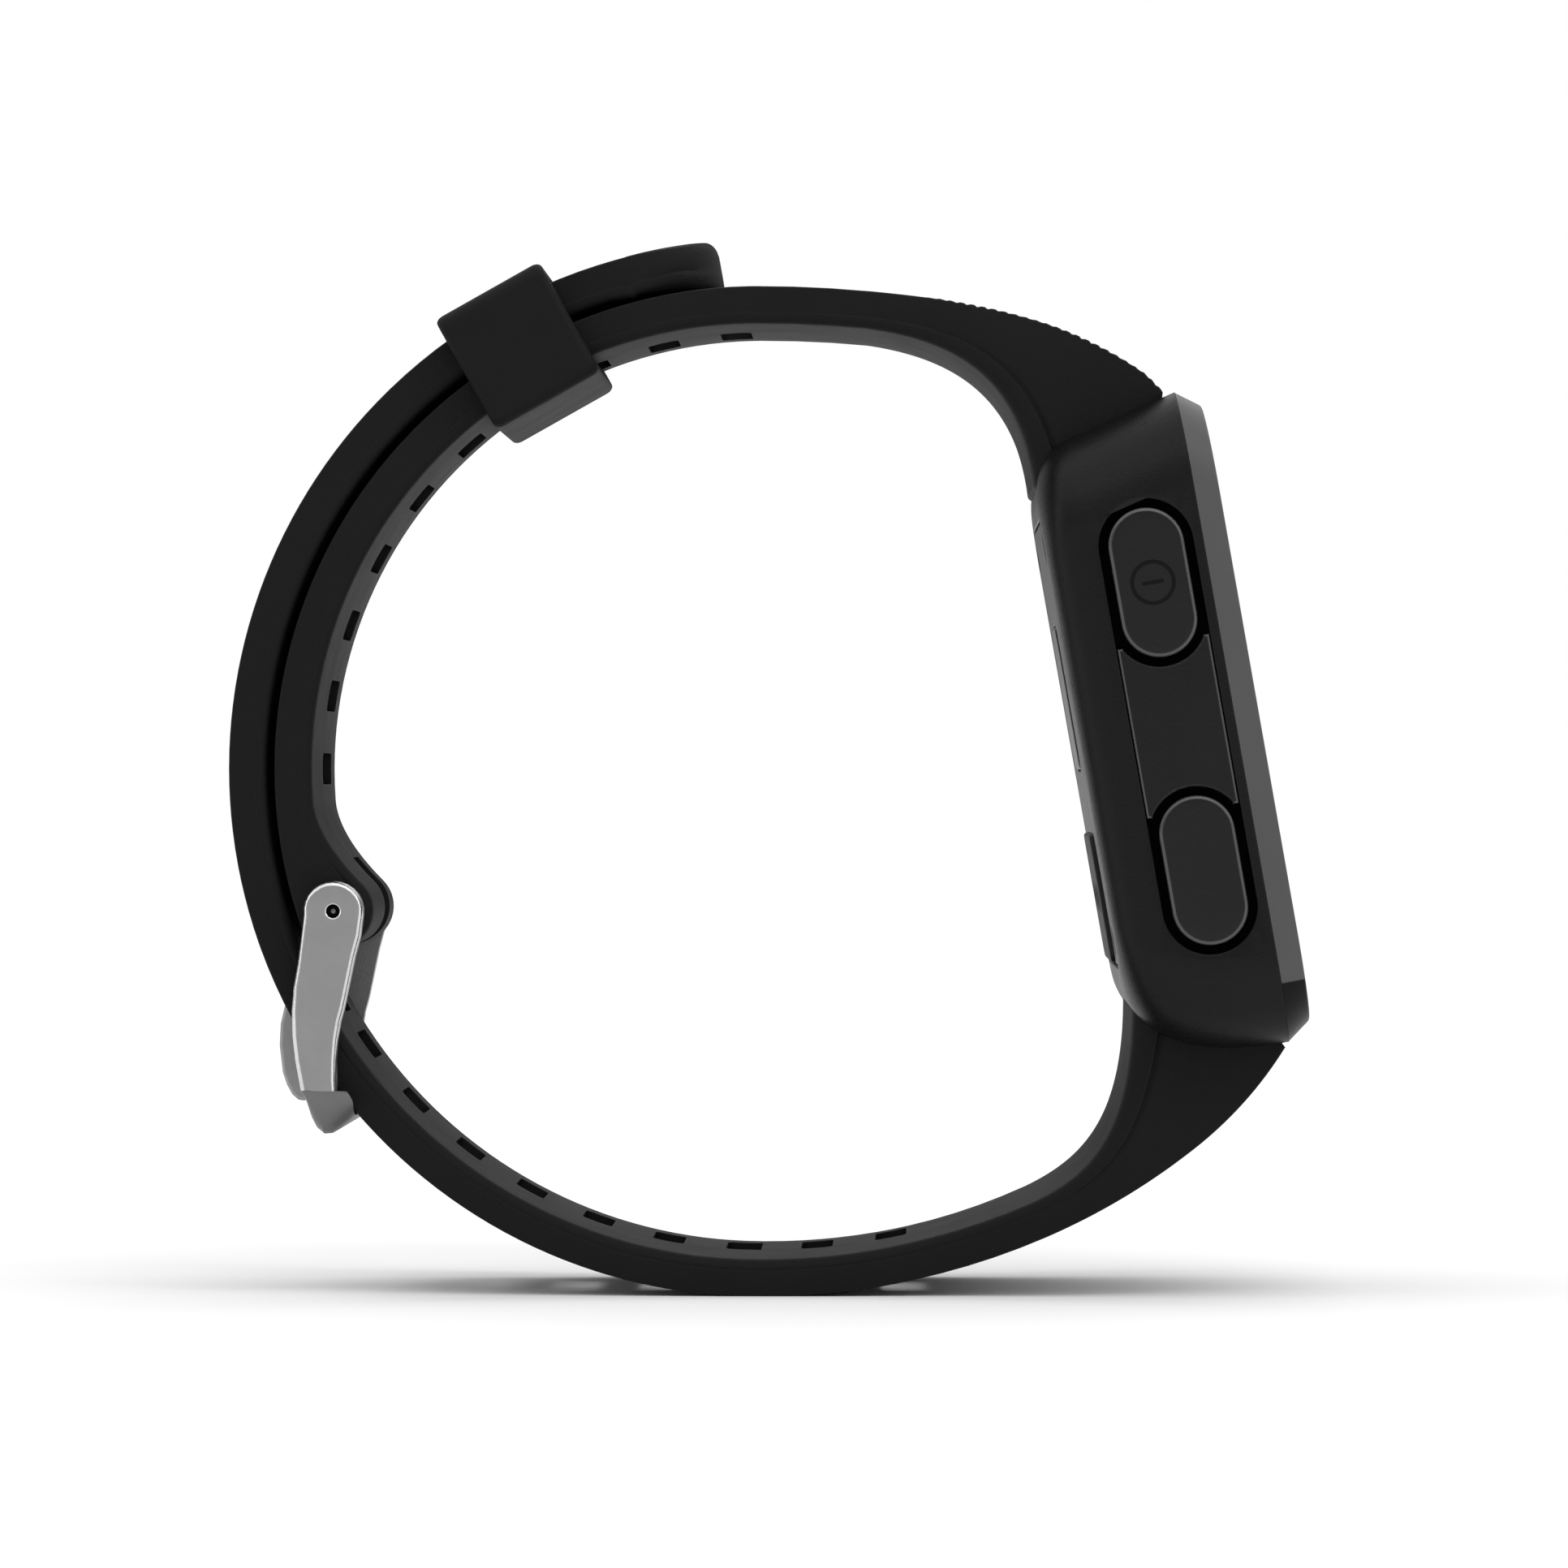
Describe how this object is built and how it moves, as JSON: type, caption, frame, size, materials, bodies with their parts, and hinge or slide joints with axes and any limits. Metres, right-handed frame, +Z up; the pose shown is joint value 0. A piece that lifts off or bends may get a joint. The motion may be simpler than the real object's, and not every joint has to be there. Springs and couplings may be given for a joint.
{
  "type": "running watch",
  "caption": "Square-faced running watch on a black silicone strap, buckled shut and standing on its strap, with flank keys, tang buckle, sliding keeper and back-mounted sensor.",
  "frame": {"origin": "on the surface the watch stands on, under the middle of its overall box", "axes": "+Z up, +X towards the display side, +Y along the forearm from the left-flank keys to the right-flank keys"},
  "size_m": [0.0676, 0.0356, 0.0663],
  "materials": {
    "case_plastic": "fine moulded black, satin",
    "bezel_gloss": "smooth dark grey gloss",
    "lens_glass": "polished, printed black underneath",
    "key_plastic": "satin black with a polished edge",
    "seal_rubber": "soft black",
    "tinned_steel": "bright tinned sheet",
    "circuit_board": "green solder mask",
    "display_glass": "dark reflective panel",
    "carrier_plastic": "moulded dark grey",
    "antenna_ceramic": "unglazed ceramic",
    "battery_foil": "silver pouch",
    "gold_contact": "gold plated",
    "polished_steel": "polished",
    "blasted_steel": "bead blasted with polished edges",
    "strap_silicone": "soft matt black silicone"
  },
  "bodies": {
    "watch": {"mid_case": "case_plastic", "bezel": "bezel_gloss", "lens": "lens_glass", "lens_gasket": "seal_rubber", "left_inlay": "case_plastic", "right_inlay": "case_plastic", "left_upper_key_seal": "seal_rubber", "left_lower_key_seal": "seal_rubber", "right_upper_key_seal": "seal_rubber", "right_lower_key_seal": "seal_rubber", "left_upper_switch": "tinned_steel", "left_lower_switch": "tinned_steel", "right_upper_switch": "tinned_steel", "right_lower_switch": "tinned_steel", "display_module": "display_glass", "display_carrier": "carrier_plastic", "main_board": "circuit_board", "shield_can": "tinned_steel", "gps_antenna": "antenna_ceramic", "battery": "battery_foil", "vibration_motor": "tinned_steel", "buzzer": "gold_contact", "sensor_board": "circuit_board", "back_cover": "case_plastic", "back_gasket": "seal_rubber", "sensor_window": "lens_glass", "contact_block": "carrier_plastic", "charge_contact_1": "gold_contact", "charge_contact_2": "gold_contact", "charge_contact_3": "gold_contact", "charge_contact_4": "gold_contact", "back_screw_1": "polished_steel", "back_screw_2": "polished_steel", "back_screw_3": "polished_steel", "back_screw_4": "polished_steel", "upper_strap_pin": "polished_steel", "lower_strap_pin": "polished_steel", "buckle_strap": "strap_silicone", "hole_strap": "strap_silicone", "buckle_pin": "polished_steel"},
    "left_upper_key_body": {"left_upper_key": "key_plastic"},
    "left_lower_key_body": {"left_lower_key": "key_plastic"},
    "right_upper_key_body": {"right_upper_key": "key_plastic"},
    "right_lower_key_body": {"right_lower_key": "key_plastic"},
    "buckle": {"buckle_frame": "blasted_steel"},
    "tongue": {"buckle_tongue": "polished_steel"},
    "keeper_loop": {"keeper": "strap_silicone"}
  },
  "joints": [
    {"name": "left_upper_key_press", "type": "slide", "parent": "watch", "child": "left_upper_key_body", "axis": [0, 1, 0], "range_m": [0, 0.0006], "stiffness_N_per_m": 400},
    {"name": "left_lower_key_press", "type": "slide", "parent": "watch", "child": "left_lower_key_body", "axis": [0, 1, 0], "range_m": [0, 0.0006], "stiffness_N_per_m": 400},
    {"name": "right_upper_key_press", "type": "slide", "parent": "watch", "child": "right_upper_key_body", "axis": [0, -1, 0], "range_m": [0, 0.0006], "stiffness_N_per_m": 400},
    {"name": "right_lower_key_press", "type": "slide", "parent": "watch", "child": "right_lower_key_body", "axis": [0, -1, 0], "range_m": [0, 0.0006], "stiffness_N_per_m": 400},
    {"name": "buckle_swing", "type": "hinge", "parent": "watch", "child": "buckle", "pos_m": [-0.02698, 0, 0.02413], "axis": [0, 1, 0], "range_deg": [0, 5]},
    {"name": "tongue_lift", "type": "hinge", "parent": "buckle", "child": "tongue", "pos_m": [-0.02698, 0, 0.02413], "axis": [0, 1, 0], "range_deg": [0, 4]},
    {"name": "keeper_slide", "type": "hinge", "parent": "watch", "child": "keeper_loop", "pos_m": [-0.0006, 0, 0.03304], "axis": [0, -1, 0], "range_deg": [-6, 55]}
  ]
}
